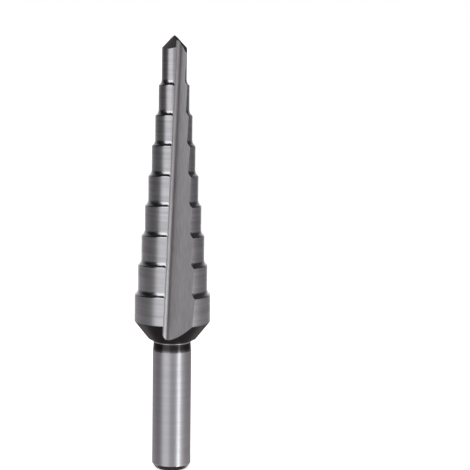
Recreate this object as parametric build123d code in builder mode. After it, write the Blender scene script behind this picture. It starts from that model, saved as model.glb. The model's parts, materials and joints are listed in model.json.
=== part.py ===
from build123d import *

import os
from math import cos, hypot, radians, sin, tan

# A two-flute step drill, ground from one round bar. It stands on the end of its shank.
# Lengths are in millimetres and angles in degrees. Azimuth 0 is +X and azimuth -90 is the front, -Y.

# Shank and neck
shank_diameter = 6.0
shank_length = 18.7
shank_chamfer_width = 0.6
shank_chamfer_height = 0.75
neck_length = 1.45
neck_top_diameter = 5.76
neck_fillet_radius = 0.2

# Shoulder and rear cone, behind the largest step
shoulder_diameter = 7.44
shoulder_height = 0.45
shoulder_round_radius = 0.5
rear_cone_angle = 38.4

# Steps, measured at the cutting edge
smallest_step_diameter = 4.0
step_count = 9
step_diameter_rise = 1.0
first_step_length = 5.78
step_pitch = 4.565
last_step_length = 4.27
step_chamfer_angle = 45.0
step_corner_radius = 1.1

# Relief, which lowers each land behind its cutting edge
cutting_edge_azimuth = -98.0
wall_relief_lead = 30.0
wall_relief_offset = 0.1
first_step_relief_offset = 0.06
chamfer_relief_lead = 50.0
chamfer_relief_tip = 2.9
lands_meet_azimuth = -75.0

# Flutes: straight grooves that grow deeper towards the shank and run out through the rear cone
web_half_thickness_at_point = 0.22
root_beside_axis_at_point = 1.09
flute_deepening_angle = 4.65
flute_skew_angle = 2.24
flute_root_radius = 0.77
flute_floor_angle = 18.0

# Drill point: two leaning conical flanks, and a steep facet that clears each heel
point_length = 1.76
flank_cone_half_angle = 60.6
flank_lean = 16.9
flank_azimuth = -132.0
heel_facet_azimuth = -31.0
heel_facet_slope = 59.0
heel_facet_beside_point = 0.2

# Room that a cutting shape keeps beyond the bar
cutting_room = 2.0


def around(radius, azimuth, height):
    """The point at a radius and an azimuth about the drill's axis."""
    turn = radians(azimuth)
    return Vector(radius * cos(turn), radius * sin(turn), height)


def leaning(origin, angle, azimuth):
    """A plane whose normal leans from straight up by an angle, towards an azimuth."""
    return Plane(origin=origin, z_dir=around(sin(radians(angle)), azimuth, cos(radians(angle))))


# Heights, from the end of the shank up
neck_top = shank_length + neck_length
shoulder_top = neck_top + shoulder_height
largest_step_diameter = smallest_step_diameter + (step_count - 1) * step_diameter_rise
rear_cone_length = (largest_step_diameter - shoulder_diameter) / 2 / tan(radians(rear_cone_angle))
largest_step_corner = shoulder_top + rear_cone_length + last_step_length
smallest_step_corner = largest_step_corner + (step_count - 2) * step_pitch + first_step_length
point_height = smallest_step_corner + point_length
bar_top = point_height + cutting_room
cone_height = 2 * bar_top
heel_cut_size = 2 * largest_step_diameter


def land_wall(diameter, offset):
    """The off-centre round of one step, which has the step's diameter at the cutting edge."""
    edge = around(diameter / 2, cutting_edge_azimuth, 0)
    centre = around(offset, cutting_edge_azimuth + wall_relief_lead, 0)
    with BuildPart() as wall:
        with Locations(centre):
            Cylinder((edge - centre).length, bar_top, align=(Align.CENTER, Align.CENTER, Align.MIN))
    return wall.part


def relief_cone(diameter, corner_height):
    """The cone of one step's chamfer, tipped up at the cutting edge, where it meets the step's corner."""
    upright = (0, 0, corner_height)
    tipped = leaning(upright, -chamfer_relief_tip, cutting_edge_azimuth + chamfer_relief_lead)
    corner = tipped.to_local_coords(around(diameter / 2, cutting_edge_azimuth, corner_height))
    apex_height = corner.Z + hypot(corner.X, corner.Y) / tan(radians(step_chamfer_angle))
    with BuildPart() as cone:
        with Locations(tipped.offset(apex_height)):
            Cone(
                bottom_radius=cone_height * tan(radians(step_chamfer_angle)),
                top_radius=0,
                height=cone_height,
                align=(Align.CENTER, Align.CENTER, Align.MAX),
            )
    return cone.part


# One land, with every step from the point to the rear cone. The other land is the same, turned.
with BuildPart() as land:
    add(land_wall(smallest_step_diameter, first_step_relief_offset))
    for step in range(1, step_count):
        diameter = smallest_step_diameter + step * step_diameter_rise
        corner_height = largest_step_corner + (step_count - 1 - step) * step_pitch
        add(land_wall(diameter, wall_relief_offset) & relief_cone(diameter, corner_height))
    walls = land.faces().filter_by(GeomType.CYLINDER).sort_by(SortBy.RADIUS)
    inner_corners = [wall.edges().sort_by(Axis.Z)[0] for wall in walls[:-1]]
    fillet(inner_corners, radius=step_corner_radius)
    split(bisect_by=Plane(origin=(0, 0, 0), z_dir=around(1, lands_meet_azimuth - 90, 0)))

# The flute's section lies level above the point and is pushed down along the sloping root line.
above_point = bar_top - point_height
flute_step_aside = tan(radians(flute_skew_angle))
flute_step_out = tan(radians(flute_deepening_angle))
root_x = root_beside_axis_at_point + above_point * flute_step_aside
root_y = above_point * flute_step_out - web_half_thickness_at_point
flute_reach = largest_step_diameter + cutting_room
floor_start_x = root_x + flute_root_radius * sin(radians(flute_floor_angle))
floor_start_y = root_y - flute_root_radius * (1 - cos(radians(flute_floor_angle)))
floor_end_y = floor_start_y - (flute_reach - floor_start_x) * tan(radians(flute_floor_angle))
flute_path = Vector(-flute_step_aside, -flute_step_out, -1) * (bar_top - neck_top)
with BuildPart() as flute:
    with BuildSketch(Plane.XY.offset(bar_top)):
        with BuildLine():
            wall_line = Line(
                (root_x - flute_root_radius, -2 * flute_reach),
                (root_x - flute_root_radius, root_y - flute_root_radius),
            )
            root_arc = CenterArc(
                (root_x, root_y - flute_root_radius), flute_root_radius, 180, -90 - flute_floor_angle
            )
            floor_line = Line(root_arc @ 1, (flute_reach, floor_end_y))
            Polyline(floor_line @ 1, (flute_reach, -2 * flute_reach), wall_line @ 0)
        make_face()
    extrude(amount=flute_path.length, dir=flute_path.normalized())

# What the steep facet takes off each heel. It passes a little outside the tip of the point.
heel_plane = leaning((0, 0, point_height), heel_facet_slope, heel_facet_azimuth)
with BuildPart() as heel_cut:
    with Locations(heel_plane.offset(heel_facet_beside_point)):
        Box(heel_cut_size, heel_cut_size, heel_cut_size, align=(Align.CENTER, Align.CENTER, Align.MIN))

with BuildPart() as step_drill:
    with PolarLocations(0, 2):
        add(land.part)
    # What is turned on the bar: the shank, its neck, the shoulder and the rear cone.
    with BuildSketch(Plane.XZ) as turned:
        with BuildLine():
            outer_radius = largest_step_diameter / 2 + cutting_room
            outer_height = shoulder_top + (outer_radius - shoulder_diameter / 2) / tan(
                radians(rear_cone_angle)
            )
            Polyline(
                (0, 0),
                (shank_diameter / 2 - shank_chamfer_width, 0),
                (shank_diameter / 2, shank_chamfer_height),
                (shank_diameter / 2, shank_length),
                (neck_top_diameter / 2, neck_top),
                (shoulder_diameter / 2, shoulder_top),
                (outer_radius, outer_height),
                (outer_radius, bar_top),
                (0, bar_top),
                close=True,
            )
        make_face()
        neck_corner = turned.vertices().sort_by_distance((neck_top_diameter / 2, 0, neck_top))[0]
        fillet(neck_corner, radius=neck_fillet_radius)
        shoulder_corner = turned.vertices().sort_by_distance((shoulder_diameter / 2, 0, shoulder_top))[0]
        fillet(shoulder_corner, radius=shoulder_round_radius)
    revolve(axis=Axis.Z, mode=Mode.INTERSECT)
    with PolarLocations(0, 2):
        add(flute.part, mode=Mode.SUBTRACT)
    for half_turn in (0, 180):
        with Locations(leaning((0, 0, point_height), flank_lean, flank_azimuth + half_turn)):
            Cone(
                bottom_radius=cone_height * tan(radians(flank_cone_half_angle)),
                top_radius=0,
                height=cone_height,
                align=(Align.CENTER, Align.CENTER, Align.MAX),
                mode=Mode.INTERSECT,
            )
    with PolarLocations(0, 2):
        add(heel_cut.part, mode=Mode.SUBTRACT)

step_drill.part.label = "step_drill"
os.makedirs("parts", exist_ok=True)
export_step(step_drill.part, "parts/step_drill.step")
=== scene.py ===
import json
import math

import bpy
import numpy
from mathutils import Matrix, Vector

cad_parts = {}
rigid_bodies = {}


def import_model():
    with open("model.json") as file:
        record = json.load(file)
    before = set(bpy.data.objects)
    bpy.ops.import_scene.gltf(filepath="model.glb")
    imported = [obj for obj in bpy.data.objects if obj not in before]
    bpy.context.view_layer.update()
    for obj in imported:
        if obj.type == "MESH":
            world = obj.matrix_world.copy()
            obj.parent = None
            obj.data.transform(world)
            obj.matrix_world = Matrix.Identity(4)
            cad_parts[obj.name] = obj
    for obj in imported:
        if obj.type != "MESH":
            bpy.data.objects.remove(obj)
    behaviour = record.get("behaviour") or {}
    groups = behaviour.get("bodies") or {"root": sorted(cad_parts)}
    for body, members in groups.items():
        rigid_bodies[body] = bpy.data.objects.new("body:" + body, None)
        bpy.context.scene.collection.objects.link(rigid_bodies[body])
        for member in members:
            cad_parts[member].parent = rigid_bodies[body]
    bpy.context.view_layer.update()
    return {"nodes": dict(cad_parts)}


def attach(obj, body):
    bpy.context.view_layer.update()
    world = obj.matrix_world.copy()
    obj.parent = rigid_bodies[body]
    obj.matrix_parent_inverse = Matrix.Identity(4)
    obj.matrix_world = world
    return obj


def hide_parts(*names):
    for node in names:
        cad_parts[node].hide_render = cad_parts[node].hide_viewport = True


# A two-flute step drill of ground tool steel, standing on the end of its shank.
# Lengths are in metres. The drill's axis is Z, and the front is -Y. Its lands, flutes, flanks and heels
# are there twice, half a turn apart.

MM = 0.001
HALF_TURNS = (0, math.pi)

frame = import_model()

# Heights on the drill, from the end of its shank up
LOWER_ROUND_TOP = 0.075 * MM
UPPER_ROUND_FOOT = 0.613 * MM
UPPER_ROUND_TOP = 0.925 * MM
SHANK_TOP = 18.7 * MM
NECK_TOP = 20.02 * MM
NECK_CORNER = 20.15 * MM
NECK_ROUND_TOP = 20.21 * MM
SHOULDER_ROUND_FOOT = 20.55 * MM
SHOULDER = 20.6 * MM
SHOULDER_ROUND_TOP = 20.68 * MM
REAR_CONE_TOP = 23.5 * MM
SECOND_STEP_TOP = 60.2 * MM
HEEL_FOOT = 64.0 * MM
POINT_FOOT = 65.0 * MM
POINT_TOP = 67.24 * MM

# Rounds on the neck's corner and the shoulder: how far each starts from its edge, on both sides
NECK_SETBACK = 0.131 * MM
SHOULDER_SETBACK = 0.104 * MM
ROUND_SEGMENTS = 6

# How far the normals of the turned surfaces point up. They change evenly between these heights: over the
# rounds, and not at all on the cones between them.
SHANK_CHAMFER_RISE = -0.625
NECK_RISE = 0.083
UNDER_SHOULDER_RISE = -0.88
REAR_CONE_RISE = -0.62
SHANK_END_RISES = (
    (0.0, -1.0),
    (LOWER_ROUND_TOP, SHANK_CHAMFER_RISE),
    (UPPER_ROUND_FOOT, SHANK_CHAMFER_RISE),
    (UPPER_ROUND_TOP, 0.0),
)
NECK_AND_CONE_RISES = (
    (NECK_TOP, NECK_RISE),
    (NECK_ROUND_TOP, UNDER_SHOULDER_RISE),
    (SHOULDER_ROUND_FOOT, UNDER_SHOULDER_RISE),
    (SHOULDER_ROUND_TOP, REAR_CONE_RISE),
)

# Each land is ground round an axis of its own, a little beside the drill's.
LEFT_LAND_BEARING = math.radians(-150)
RELIEF_BEARING = math.radians(-68)
LAND_OFFSET = 0.1 * MM
FIRST_LAND_OFFSET = 0.06 * MM

# Each flute's root is round about a line that leans by so much for each metre down from the point.
ROOT_CENTRE = Vector((1.09, -0.99)) * MM
ROOT_RADIUS = 0.77 * MM
FLUTE_LEAN = Vector((math.tan(math.radians(2.24)), math.tan(math.radians(4.65))))
FLOOR_BEARING = math.radians(-18)
WALL_BEARING = math.radians(90)
# A place on the front flute's floor
FLOOR_PLACE = Vector((2.2, -0.5, 40.0)) * MM

# Each flank of the point is a cone with its tip at the point and its axis leaning to the flank's side.
FLANK_BEARING = math.radians(-132)
FLANK_LEAN = math.radians(16.9)
FLANK_HALF_ANGLE = math.radians(60.6)

# The facet behind each flank
HEEL_BEARING = math.radians(-31)
HEEL_SLOPE = math.radians(59)

# Corners closer than this are one.
MERGE_DISTANCE = 0.002 * MM

# What tells faces apart: how far a normal points up or to the front, and the angle between two
LEVEL_RISE = 0.02
CHAMFER_RISE = 0.12
POINT_RISE = 0.25
FLAT_END_RISE = 0.95
FRONT_SHARE = 0.8
FLAT_ANGLE = math.radians(2)
CREASE_ANGLE = math.radians(24)


# Modelling by hand, on what is selected

def take_copy(node_name, copy_name):
    """A copy of a CAD node with its loose triangles welded."""
    bpy.ops.object.select_all(action="DESELECT")
    source = frame["nodes"][node_name]
    source.select_set(True)
    bpy.context.view_layer.objects.active = source
    bpy.ops.object.duplicate()
    copy = bpy.context.object
    copy.name = copy_name
    bpy.ops.object.parent_clear(type="CLEAR_KEEP_TRANSFORM")
    bpy.ops.object.mode_set(mode="EDIT")
    bpy.ops.mesh.select_all(action="SELECT")
    bpy.ops.mesh.remove_doubles(threshold=MERGE_DISTANCE)
    bpy.ops.mesh.select_all(action="DESELECT")
    bpy.ops.object.mode_set(mode="OBJECT")
    return copy


def round_edge(piece, height, setback):
    """Rounds the turned edge at a height."""
    bpy.ops.object.mode_set(mode="EDIT")
    bpy.ops.mesh.select_mode(type="EDGE")
    bpy.ops.mesh.select_all(action="DESELECT")
    bpy.ops.object.mode_set(mode="OBJECT")
    for edge in piece.data.edges:
        ends = [piece.data.vertices[vertex].co.z for vertex in edge.vertices]
        edge.select = all(abs(end - height) < MERGE_DISTANCE for end in ends)
    bpy.ops.object.mode_set(mode="EDIT")
    bpy.ops.mesh.bevel(offset=setback, segments=ROUND_SEGMENTS, affect="EDGES")
    bpy.ops.mesh.select_all(action="DESELECT")
    bpy.ops.object.mode_set(mode="OBJECT")


def select_faces(piece, wanted):
    """Selects the faces that a test picks, and no others."""
    bpy.ops.object.mode_set(mode="EDIT")
    bpy.ops.mesh.select_mode(type="FACE")
    bpy.ops.mesh.select_all(action="DESELECT")
    bpy.ops.object.mode_set(mode="OBJECT")
    for face in piece.data.polygons:
        face.select = wanted(face)


def finish_faces(piece, material, wanted):
    """Gives the faces that a test picks a material."""
    select_faces(piece, wanted)
    if material.name not in piece.data.materials:
        piece.data.materials.append(material)
    piece.active_material_index = piece.data.materials.find(material.name)
    bpy.ops.object.mode_set(mode="EDIT")
    bpy.ops.object.material_slot_assign()
    bpy.ops.object.mode_set(mode="OBJECT")


# The drill's own surfaces

def towards(bearing):
    """The level direction at a bearing."""
    return Vector((math.cos(bearing), math.sin(bearing), 0))


def leaning(angle, bearing):
    """The direction that leans from upright by an angle, towards a bearing."""
    return math.sin(angle) * towards(bearing) + Vector((0, 0, math.cos(angle)))


def turn_to(place, bearing):
    """The half turn or none, whichever brings this bearing to the place's side of the drill."""
    return max(HALF_TURNS, key=lambda turn: place.dot(towards(bearing + turn)))


def on_a_heel(face):
    """Whether a face is on the facet behind one of the flanks."""
    heels = [leaning(HEEL_SLOPE, HEEL_BEARING + turn) for turn in HALF_TURNS]
    return face.center.z > HEEL_FOOT and any(face.normal.angle(heel) < FLAT_ANGLE for heel in heels)


def flute_faces(piece, turn):
    """The faces of one flute, grown from its floor up to the sharp edges around it."""
    half_turn = Matrix.Rotation(turn, 3, "Z")
    place = half_turn @ FLOOR_PLACE
    front = half_turn @ Vector((0, -1, 0))
    floor_faces = [face for face in piece.data.polygons if face.normal.dot(front) > FRONT_SHARE]
    seed = min(floor_faces, key=lambda face: (face.center - place).length).index
    select_faces(piece, lambda face: face.index == seed)
    bpy.ops.object.mode_set(mode="EDIT")
    bpy.ops.mesh.faces_select_linked_flat(sharpness=CREASE_ANGLE)
    bpy.ops.object.mode_set(mode="OBJECT")
    return {face.index for face in piece.data.polygons if face.select}


def flute_normal(place, turn):
    """The flute's own normal: level on its wall, round its root and flat on its floor."""
    half_turn = Matrix.Rotation(turn, 3, "Z")
    here = half_turn.inverted() @ place
    inward = ROOT_CENTRE - (POINT_TOP - here.z) * FLUTE_LEAN - here.xy
    bearing = min(max(math.atan2(inward.x, -inward.y), FLOOR_BEARING), WALL_BEARING)
    normal = Vector((math.sin(bearing), -math.cos(bearing), 0))
    normal.z = -normal.xy.dot(FLUTE_LEAN)
    return half_turn @ normal.normalized()


def land_axis(place):
    """The axis that the ground or turned surface at this place is round about."""
    if place.z < REAR_CONE_TOP:
        return Vector((0, 0, 0))
    offset = FIRST_LAND_OFFSET if place.z > SECOND_STEP_TOP else LAND_OFFSET
    return offset * towards(RELIEF_BEARING + turn_to(place, LEFT_LAND_BEARING))


def flank_normal(place, middle):
    """The normal at a place of the flank that has this middle."""
    axis = leaning(FLANK_LEAN, FLANK_BEARING + turn_to(middle, FLANK_BEARING))
    from_tip = place - Vector((0, 0, POINT_TOP))
    outward = from_tip - from_tip.dot(axis) * axis
    return math.sin(FLANK_HALF_ANGLE) * axis + math.cos(FLANK_HALF_ANGLE) * outward.normalized()


def round_normal(face, place, smoothed):
    """The normal at a place of a face that is ground or turned about an axis."""
    outward = place - land_axis(face.center)
    outward.z = 0
    rise = smoothed.z
    if abs(face.normal.z) < LEVEL_RISE:
        rise = 0
    elif face.center.z < UPPER_ROUND_TOP:
        rise = numpy.interp(place.z, *zip(*SHANK_END_RISES))
    elif face.center.z < REAR_CONE_TOP:
        rise = numpy.interp(place.z, *zip(*NECK_AND_CONE_RISES))
    return outward.normalized() * math.sqrt(max(0, 1 - rise * rise)) + Vector((0, 0, rise))


def shade_true(piece, flutes, flank_steel, heel_steel):
    """Gives every face the normals of the true surface."""
    mesh = piece.data
    flank_slot = mesh.materials.find(flank_steel.name)
    heel_slot = mesh.materials.find(heel_steel.name)
    normals = [corner.vector.copy() for corner in mesh.corner_normals]
    for face in mesh.polygons:
        turn = next((turn for turn, faces in flutes.items() if face.index in faces), None)
        flat = face.material_index == heel_slot or abs(face.normal.z) > FLAT_END_RISE
        for corner in face.loop_indices:
            place = mesh.vertices[mesh.loops[corner].vertex_index].co
            if turn is not None:
                normals[corner] = flute_normal(place, turn)
            elif flat:
                normals[corner] = face.normal.copy()
            elif face.material_index == flank_slot:
                normals[corner] = flank_normal(place, face.center)
            else:
                normals[corner] = round_normal(face, place, normals[corner])
    mesh.normals_split_custom_set(normals)


# Nodes

def linear(colour):
    """The linear value of an sRGB hex colour."""
    parts = [int(colour[place : place + 2], 16) / 255 for place in (1, 3, 5)]
    return (
        *(part / 12.92 if part <= 0.04045 else ((part + 0.055) / 1.055) ** 2.4 for part in parts),
        1,
    )


def add_node(tree, kind, fields=(), terms=(), **sockets):
    """Adds a node, sets its fields, and sets or links its sockets: terms by order, and others by name."""
    made = tree.nodes.new(kind)
    for name, value in dict(fields).items():
        setattr(made, name, value)
    named = [(made.inputs[name.replace("_", " ")], value) for name, value in sockets.items()]
    for socket, value in [*zip(made.inputs, terms), *named]:
        if isinstance(value, bpy.types.NodeSocket):
            tree.links.new(value, socket)
        else:
            socket.default_value = value
    return made


def new_material(name):
    material = bpy.data.materials.new(name)
    material.use_nodes = True
    material.node_tree.nodes.clear()
    return material


# Steel. Its colour is one tone, or tones by a distance in millimetres that change evenly between them.

BARE_STEEL = "#BABCC0"
# Away from the flute's wall: the wall, lightened as a painted reflection; the root, darkened as painted
# shade; and the floor
FLUTE_TONES_WITH_PAINTED_LIGHT = (
    (0.0, "#ECECF0"),
    (0.28, "#ECECF0"),
    (0.5, "#A8A8AA"),
    (0.7, "#727274"),
    (0.86, "#7A7A7C"),
    (1.1, "#929194"),
)
# Up from the shank: bare steel darkens to near black, as painted shade
NECK_PAINTED_SHADE_TONES = ((0.0, "#A0A0A2"), (0.12, "#8C8B8C"), (0.32, "#5C5859"), (0.6, "#423E3F"))

# A wheel or a lathe tool leaves lines about 0.05 mm apart. A pixel is three times as wide, so the lines are
# drawn coarser to show: 22 in 10 mm round the drill, and 60 in 10 mm along its flutes.
ROUND_LINE_SPACING = 10 * MM / 22
ROUND_LINE_LENGTH = 10 * MM
FLUTE_LINE_SPACING = 10 * MM / 60
FLUTE_LINE_LENGTH = 10 * MM / 1.5
# How many lines there are to the metre, on X, Y and Z
ROUND_LINES = (1 / ROUND_LINE_LENGTH, 1 / ROUND_LINE_LENGTH, 1 / ROUND_LINE_SPACING)
FLUTE_LINES = (1 / FLUTE_LINE_SPACING, 1 / FLUTE_LINE_SPACING, 1 / FLUTE_LINE_LENGTH)
LINE_DEPTH = 0.002 * MM
FINE_LINE_DEPTH = 0.001 * MM
# How many times the lines split into finer ones
LINE_DETAIL = 3.0
# What the noise that draws the lines mostly stays between
NOISE_LOW = 0.3
NOISE_HIGH = 0.7

# Full anisotropy makes steel nine tenths less rough one way than the other.
FULL_ANISOTROPY = 0.9
QUARTER_TURN = 0.25


def across_the_flute(tree, place):
    """The distance from the wall of the nearer flute, in metres."""
    split = add_node(tree, "ShaderNodeSeparateXYZ", Vector=place)
    side = add_node(tree, "ShaderNodeMath", {"operation": "SIGN"}, [split.outputs["Y"]])
    beside = add_node(
        tree,
        "ShaderNodeMath",
        {"operation": "MULTIPLY"},
        [split.outputs["X"], side.outputs["Value"]],
    )
    wall_at_foot = ROOT_CENTRE.x - ROOT_RADIUS - POINT_TOP * FLUTE_LEAN.x
    wall = add_node(
        tree,
        "ShaderNodeMath",
        {"operation": "MULTIPLY_ADD"},
        [split.outputs["Z"], FLUTE_LEAN.x, wall_at_foot],
    )
    back = add_node(
        tree,
        "ShaderNodeMath",
        {"operation": "ADD"},
        [beside.outputs["Value"], wall.outputs["Value"]],
    )
    across = add_node(tree, "ShaderNodeMath", {"operation": "MULTIPLY"}, [back.outputs["Value"], -1])
    return across.outputs["Value"]


def up_the_neck(tree, place):
    """The height above the top of the shank, in metres."""
    split = add_node(tree, "ShaderNodeSeparateXYZ", Vector=place)
    above = add_node(tree, "ShaderNodeMath", {"operation": "SUBTRACT"}, [split.outputs["Z"], SHANK_TOP])
    return above.outputs["Value"]


def tone_over(tree, distance, tones):
    """A tone that changes with a distance in metres."""
    first, *middle, last = tones
    reach = last[0] * MM
    share = add_node(tree, "ShaderNodeMapRange", Value=distance, From_Max=reach)
    ramp = add_node(tree, "ShaderNodeValToRGB", Fac=share.outputs["Result"])
    stops = ramp.color_ramp.elements
    stops[0].color = linear(first[1])
    stops[1].color = linear(last[1])
    for away, colour in middle:
        stops.new(away * MM / reach).color = linear(colour)
    return ramp.outputs["Color"]


def lined_steel(name, colour, rough_round, rough_along, depth, contrast, lines=ROUND_LINES, over=None):
    """Tool steel with the lines of its making.

    `rough_round` and `rough_along` are how much the surface slopes to either side, round the drill and
    along it. `depth` is how deep its lines are, and `contrast` is how much lighter or darker they get.
    `over` gives the distance that `colour` changes over.
    """
    material = new_material(name)
    tree = material.node_tree
    place = add_node(tree, "ShaderNodeTexCoord").outputs["Object"]
    stretched = add_node(tree, "ShaderNodeMapping", Vector=place, Scale=lines)
    streaks = add_node(
        tree, "ShaderNodeTexNoise", Vector=stretched.outputs["Vector"], Scale=1.0, Detail=LINE_DETAIL
    )
    tone = add_node(
        tree,
        "ShaderNodeMapRange",
        Value=streaks.outputs["Fac"],
        From_Min=NOISE_LOW,
        From_Max=NOISE_HIGH,
        To_Min=1 - contrast,
        To_Max=1 + contrast,
    )
    base = tone_over(tree, over(tree, place), colour) if over else linear(colour)[:3]
    shade = add_node(
        tree, "ShaderNodeVectorMath", {"operation": "SCALE"}, Vector=base, Scale=tone.outputs["Result"]
    )
    bump = add_node(tree, "ShaderNodeBump", Height=streaks.outputs["Fac"], Strength=1.0, Distance=depth)
    tangent = add_node(tree, "ShaderNodeTangent", {"direction_type": "RADIAL", "axis": "Z"})
    less_rough = 1 - min(rough_round, rough_along) / max(rough_round, rough_along)
    mean_slope = math.sqrt(rough_round * rough_along)
    steel = add_node(
        tree,
        "ShaderNodeBsdfPrincipled",
        Base_Color=shade.outputs["Vector"],
        Metallic=1.0,
        Roughness=math.sqrt(mean_slope),
        Anisotropic=less_rough / FULL_ANISOTROPY,
        Anisotropic_Rotation=QUARTER_TURN if rough_along > rough_round else 0.0,
        Tangent=tangent.outputs["Tangent"],
        Normal=bump.outputs["Normal"],
    )
    add_node(tree, "ShaderNodeOutputMaterial", Surface=steel.outputs["BSDF"])
    return material


def ground_land_steel():
    """Bare steel, relief-ground by a wheel that runs round it: bright, with clear lines round each step."""
    return lined_steel(
        "ground_land_steel",
        BARE_STEEL,
        rough_round=0.085,
        rough_along=0.13,
        depth=LINE_DEPTH,
        contrast=0.15,
    )


def ground_chamfer_steel():
    """Bare steel, fine-ground all over: smooth, so that it mirrors the light and the dark of the room."""
    return lined_steel(
        "ground_chamfer_steel",
        BARE_STEEL,
        rough_round=0.05,
        rough_along=0.05,
        depth=FINE_LINE_DEPTH,
        contrast=0.06,
    )


def ground_point_steel():
    """Steel that a coarse wheel ground last: an even, dull grey."""
    return lined_steel(
        "ground_point_steel",
        "#918C8C",
        rough_round=0.3,
        rough_along=0.3,
        depth=LINE_DEPTH,
        contrast=0.06,
    )


def ground_shank_steel():
    """Bare steel, fine-ground between wheels: bright streaks with soft sides run up it."""
    return lined_steel(
        "ground_shank_steel",
        BARE_STEEL,
        rough_round=0.135,
        rough_along=0.25,
        depth=FINE_LINE_DEPTH,
        contrast=0.06,
    )


def ground_flute_steel():
    """Steel that a wheel ground lengthways: satin, with long fine lines, its wall lightened by a painted
    reflection and its root darkened by painted shade.
    """
    return lined_steel(
        "ground_flute_steel",
        FLUTE_TONES_WITH_PAINTED_LIGHT,
        rough_round=0.28,
        rough_along=0.12,
        depth=LINE_DEPTH,
        contrast=0.11,
        lines=FLUTE_LINES,
        over=across_the_flute,
    )


def painted_dark_heel_facet_steel():
    """Steel ground away steeply behind each flank: a fairly smooth facet, painted dark grey as shade."""
    return lined_steel(
        "painted_dark_heel_facet_steel",
        "#5A5A5C",
        rough_round=0.15,
        rough_along=0.15,
        depth=FINE_LINE_DEPTH,
        contrast=0.04,
    )


def turned_cone_steel_with_painted_shade():
    """Turned steel facing down: dark grey, partly a thin oxide and partly painted shade, with a turned
    sheen.
    """
    return lined_steel(
        "turned_cone_steel_with_painted_shade",
        "#656162",
        rough_round=0.15,
        rough_along=0.15,
        depth=LINE_DEPTH,
        contrast=0.1,
    )


def neck_steel_with_painted_shade():
    """Turned steel, glossy: bare next to the shank, and painted nearly black above it as painted shade."""
    return lined_steel(
        "neck_steel_with_painted_shade",
        NECK_PAINTED_SHADE_TONES,
        rough_round=0.04,
        rough_along=0.08,
        depth=FINE_LINE_DEPTH,
        contrast=0.1,
        over=up_the_neck,
    )


# The drill, dressed on a welded copy of its CAD solid

def dress_drill():
    """The drill with its two rounds, and with a steel for each way that its surface was made."""
    drill = take_copy("step_drill", "ground_step_drill")
    drill.data.materials.clear()
    round_edge(drill, NECK_CORNER, NECK_SETBACK)
    round_edge(drill, SHOULDER, SHOULDER_SETBACK)
    flutes = {turn: flute_faces(drill, turn) for turn in HALF_TURNS}
    chamfer_steel = ground_chamfer_steel()
    shank_steel = ground_shank_steel()
    flank_steel = ground_point_steel()
    heel_steel = painted_dark_heel_facet_steel()
    # Each finish covers a part of those before it. The round at the neck's corner is as bright as the shank.
    finishes = (
        (ground_land_steel(), lambda face: True),
        (chamfer_steel, lambda face: face.normal.z > CHAMFER_RISE),
        # The rear cone's dark grey is partly painted shade.
        (turned_cone_steel_with_painted_shade(), lambda face: face.center.z < REAR_CONE_TOP),
        (shank_steel, lambda face: face.center.z < NECK_ROUND_TOP),
        # The neck's steel is darkened upward by painted shade.
        (neck_steel_with_painted_shade(), lambda face: face.center.z < NECK_TOP),
        (shank_steel, lambda face: face.center.z < SHANK_TOP),
        (chamfer_steel, lambda face: face.center.z < SHANK_TOP and face.normal.z < -CHAMFER_RISE),
        (flank_steel, lambda face: face.center.z > POINT_FOOT and face.normal.z > POINT_RISE),
        # The heels' dark grey is painted shade.
        (heel_steel, on_a_heel),
        (ground_flute_steel(), lambda face: any(face.index in faces for faces in flutes.values())),
    )
    for steel, wanted in finishes:
        finish_faces(drill, steel, wanted)
    bpy.ops.object.select_all(action="DESELECT")
    drill.select_set(True)
    bpy.context.view_layer.objects.active = drill
    bpy.ops.object.shade_smooth_by_angle(angle=CREASE_ANGLE)
    modifier = drill.modifiers.new("weighted", "WEIGHTED_NORMAL")
    modifier.keep_sharp = True
    bpy.ops.object.modifier_apply(modifier=modifier.name)
    shade_true(drill, flutes, flank_steel, heel_steel)
    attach(drill, "root")
    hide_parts("step_drill")


# Studio: a white floor and background, three softboxes, and cards that only the steel shows
# Bearings are in degrees from the camera's, to the right, and other angles are in degrees up from the level.

CAMERA_BEARING = -90
STUDIO_RADIUS = 600 * MM
STUDIO_MIDDLE = 34 * MM

# Cards: three rings, each with a level of grey between one bearing and the next, and one above and below
OPEN = None
CARD_BEARINGS = (-180, -150, -135, -120, -108, -96, -54, 54, 72, 84, 96, 132, 150, 180)
LOWER_LEVELS = (0.15, 0.57, 0.53, 0.47, 0.41, 0.37, 0.49, 0.88, 0.68, 0.62, 0.5, 0.5, 0.15)
MIDDLE_LEVELS = (OPEN, 0.33, 0.23, 0.17, 0.115, 0.1, 0.4, 0.6, 0.38, 0.24, 0.165, 0.2, OPEN)
BLACK_LEVELS = (OPEN, 0.45, 0.17, 0.02, 0.01, 0.01, 0.5, 0.2, 0.06, 0.03, 0.05, 0.3, OPEN)
CEILING_LEVEL = 0.01
GROUND_LEVEL = 0.055
GROUND_ANGLE = -45
LOWER_CARD_TOP = -12.5
MIDDLE_CARD_TOP = 2
CEILING_ANGLE = 45
# The cards are a little warmer than grey.
CARD_TINT = (1.07, 1.0, 1.01)
RING_SIDES = 120
ROUND_CARD_SIDES = 64
ROUND_CARD_RADIUS = 1.02 * STUDIO_RADIUS

# Softboxes, inside the rings: a tall one on the left with a brighter top, and a low strip on the right
SOFTBOX_DISTANCE = 0.9 * STUDIO_RADIUS
LEFT_SOFTBOX_START = -60
LEFT_SOFTBOX_END = -13
LEFT_SOFTBOX_SEAM = 13
LEFT_SOFTBOX_TOP = 47
LEFT_SOFTBOX_RADIANCE = 0.55
LEFT_SOFTBOX_TOP_RADIANCE = 1.4
RIGHT_STRIP_START = 38
RIGHT_STRIP_END = 50
RIGHT_STRIP_TOP = -6
RIGHT_STRIP_RADIANCE = 5.4

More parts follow.
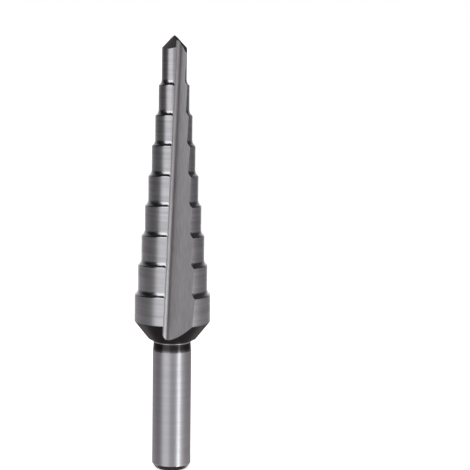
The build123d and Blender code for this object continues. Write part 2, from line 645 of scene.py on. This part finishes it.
FLOOR_SIZE = 40
FLOOR_PAINT = "#E6E6E6"
FLOOR_LIFT = 0.5


def flat_glow(name, level):
    material = new_material(name)
    glow = add_node(material.node_tree, "ShaderNodeEmission", Color=(*CARD_TINT, 1), Strength=level)
    add_node(material.node_tree, "ShaderNodeOutputMaterial", Surface=glow.outputs["Emission"])
    return material


def only_reflected(card):
    """A card that the camera and the floor don't see, and the steel does."""
    for ray in ("camera", "diffuse", "transmission", "shadow", "volume_scatter"):
        setattr(card, "visible_" + ray, False)


def bearing_of(face):
    """The bearing of a face, between minus and plus half a turn."""
    bearing = math.degrees(math.atan2(face.center.y, face.center.x)) - CAMERA_BEARING
    return (bearing + 180) % 360 - 180


def height_at(angle, distance=STUDIO_RADIUS):
    """The height that is seen from the drill at an angle, at a distance."""
    return STUDIO_MIDDLE + distance * math.tan(math.radians(angle))


def stand_cards(name, bottom, top, levels):
    """A ring of grey cards round the drill, open where the white background shows."""
    low = height_at(bottom)
    high = height_at(top)
    bpy.ops.object.select_all(action="DESELECT")
    bpy.ops.mesh.primitive_cylinder_add(
        vertices=RING_SIDES,
        radius=STUDIO_RADIUS,
        depth=high - low,
        end_fill_type="NOTHING",
        location=(0, 0, (high + low) / 2),
    )
    ring = bpy.context.object
    ring.name = name
    ring.data.materials.clear()
    for start, end, level in zip(CARD_BEARINGS, CARD_BEARINGS[1:], levels):
        if level is not OPEN:
            grey = flat_glow(f"{name}_{start}", level)
            finish_faces(ring, grey, lambda face: start < bearing_of(face) < end)
            continue
        select_faces(ring, lambda face: start < bearing_of(face) < end)
        bpy.ops.object.mode_set(mode="EDIT")
        bpy.ops.mesh.delete(type="FACE")
        bpy.ops.object.mode_set(mode="OBJECT")
    only_reflected(ring)


def lay_card(name, angle, level):
    """A round grey card above or below the drill, at the edge of the rings."""
    bpy.ops.object.select_all(action="DESELECT")
    bpy.ops.mesh.primitive_circle_add(
        vertices=ROUND_CARD_SIDES,
        radius=ROUND_CARD_RADIUS,
        fill_type="NGON",
        location=(0, 0, height_at(angle)),
    )
    card = bpy.context.object
    card.name = name
    card.data.materials.append(flat_glow(name + "_grey", level))
    only_reflected(card)


def add_softbox(name, start, end, bottom, top, radiance):
    """A flat softbox between two bearings and two angles."""
    middle = math.radians((start + end) / 2 + CAMERA_BEARING)
    low = height_at(bottom, SOFTBOX_DISTANCE)
    high = height_at(top, SOFTBOX_DISTANCE)
    place = SOFTBOX_DISTANCE * towards(middle) + Vector((0, 0, (low + high) / 2))
    bpy.ops.object.light_add(type="AREA", location=place)
    lamp = bpy.context.object
    lamp.name = name
    lamp.rotation_euler = (math.pi / 2, 0, middle + math.pi / 2)
    lamp.data.shape = "RECTANGLE"
    lamp.data.size = 2 * SOFTBOX_DISTANCE * math.tan(math.radians((end - start) / 2))
    lamp.data.size_y = high - low
    lamp.data.energy = radiance * lamp.data.size * lamp.data.size_y * math.pi
    lamp.visible_camera = False


def light_from_softboxes():
    left = (LEFT_SOFTBOX_START, LEFT_SOFTBOX_END)
    right = (RIGHT_STRIP_START, RIGHT_STRIP_END)
    add_softbox("left_softbox", *left, GROUND_ANGLE, LEFT_SOFTBOX_SEAM, LEFT_SOFTBOX_RADIANCE)
    add_softbox("left_softbox_top", *left, LEFT_SOFTBOX_SEAM, LEFT_SOFTBOX_TOP, LEFT_SOFTBOX_TOP_RADIANCE)
    add_softbox("right_strip", *right, GROUND_ANGLE, RIGHT_STRIP_TOP, RIGHT_STRIP_RADIANCE)


def lay_floor():
    """A pale floor that shows the drill's soft shadow and is otherwise as white as the background."""
    bpy.ops.object.select_all(action="DESELECT")
    bpy.ops.mesh.primitive_plane_add(size=FLOOR_SIZE)
    floor = bpy.context.object
    floor.name = "floor"
    material = new_material("white_floor")
    tree = material.node_tree
    path = add_node(tree, "ShaderNodeLightPath")
    seen = path.outputs["Is Camera Ray"]
    for ray in ("Is Glossy Ray", "Is Transmission Ray"):
        more = add_node(tree, "ShaderNodeMath", {"operation": "MAXIMUM"}, [seen, path.outputs[ray]])
        seen = more.outputs["Value"]
    strength = add_node(tree, "ShaderNodeMath", {"operation": "MULTIPLY"}, [seen, FLOOR_LIFT])
    paint = add_node(tree, "ShaderNodeBsdfDiffuse", Color=linear(FLOOR_PAINT))
    lift = add_node(tree, "ShaderNodeEmission", Color=(1, 1, 1, 1), Strength=strength.outputs["Value"])
    both = add_node(tree, "ShaderNodeAddShader", (), [paint.outputs["BSDF"], lift.outputs["Emission"]])
    add_node(tree, "ShaderNodeOutputMaterial", Surface=both.outputs["Shader"])
    floor.data.materials.append(material)
    floor.visible_glossy = False
    floor.visible_shadow = False


def light_world():
    world = bpy.data.worlds.new("studio")
    bpy.context.scene.world = world
    world.use_nodes = True
    background = world.node_tree.nodes["Background"]
    background.inputs["Color"].default_value = (1, 1, 1, 1)
    background.inputs["Strength"].default_value = 1.0


# Camera. The drill's axis is left of the frame's centre, and the camera rolls a little.

IMAGE_SIZE = 470
SENSOR_WIDTH = 36.0
FOCAL_PIXELS = 1530.0
AXIS_PIXEL = 173.0
CAMERA_DISTANCE = 235.7 * MM
CAMERA_AIM_HEIGHT = 36.7 * MM
CAMERA_PITCH = math.radians(7.5)
CAMERA_ROLL = math.radians(0.47)
NEAREST_SEEN = 1 * MM
FARTHEST_SEEN = 100


def add_camera():
    """The camera in front of the drill, looking down on it a little."""
    bpy.ops.object.camera_add(
        location=(
            0,
            -CAMERA_DISTANCE * math.cos(CAMERA_PITCH),
            CAMERA_AIM_HEIGHT + CAMERA_DISTANCE * math.sin(CAMERA_PITCH),
        )
    )
    camera = bpy.context.object
    turn = Matrix.Rotation(math.pi / 2 - CAMERA_PITCH, 3, "X") @ Matrix.Rotation(CAMERA_ROLL, 3, "Z")
    camera.rotation_euler = turn.to_euler()
    camera.data.sensor_width = SENSOR_WIDTH
    camera.data.lens = FOCAL_PIXELS * SENSOR_WIDTH / IMAGE_SIZE
    camera.data.shift_x = (IMAGE_SIZE / 2 - AXIS_PIXEL) / IMAGE_SIZE
    camera.data.clip_start = NEAREST_SEEN
    camera.data.clip_end = FARTHEST_SEEN
    bpy.context.scene.camera = camera


add_camera()
dress_drill()
lay_floor()
light_world()
light_from_softboxes()
stand_cards("lower_cards", GROUND_ANGLE, LOWER_CARD_TOP, LOWER_LEVELS)
stand_cards("middle_cards", LOWER_CARD_TOP, MIDDLE_CARD_TOP, MIDDLE_LEVELS)
stand_cards("black_cards", MIDDLE_CARD_TOP, CEILING_ANGLE, BLACK_LEVELS)
lay_card("ceiling_card", CEILING_ANGLE, CEILING_LEVEL)
lay_card("ground_card", GROUND_ANGLE, GROUND_LEVEL)
bpy.context.scene.view_settings.view_transform = "Standard"
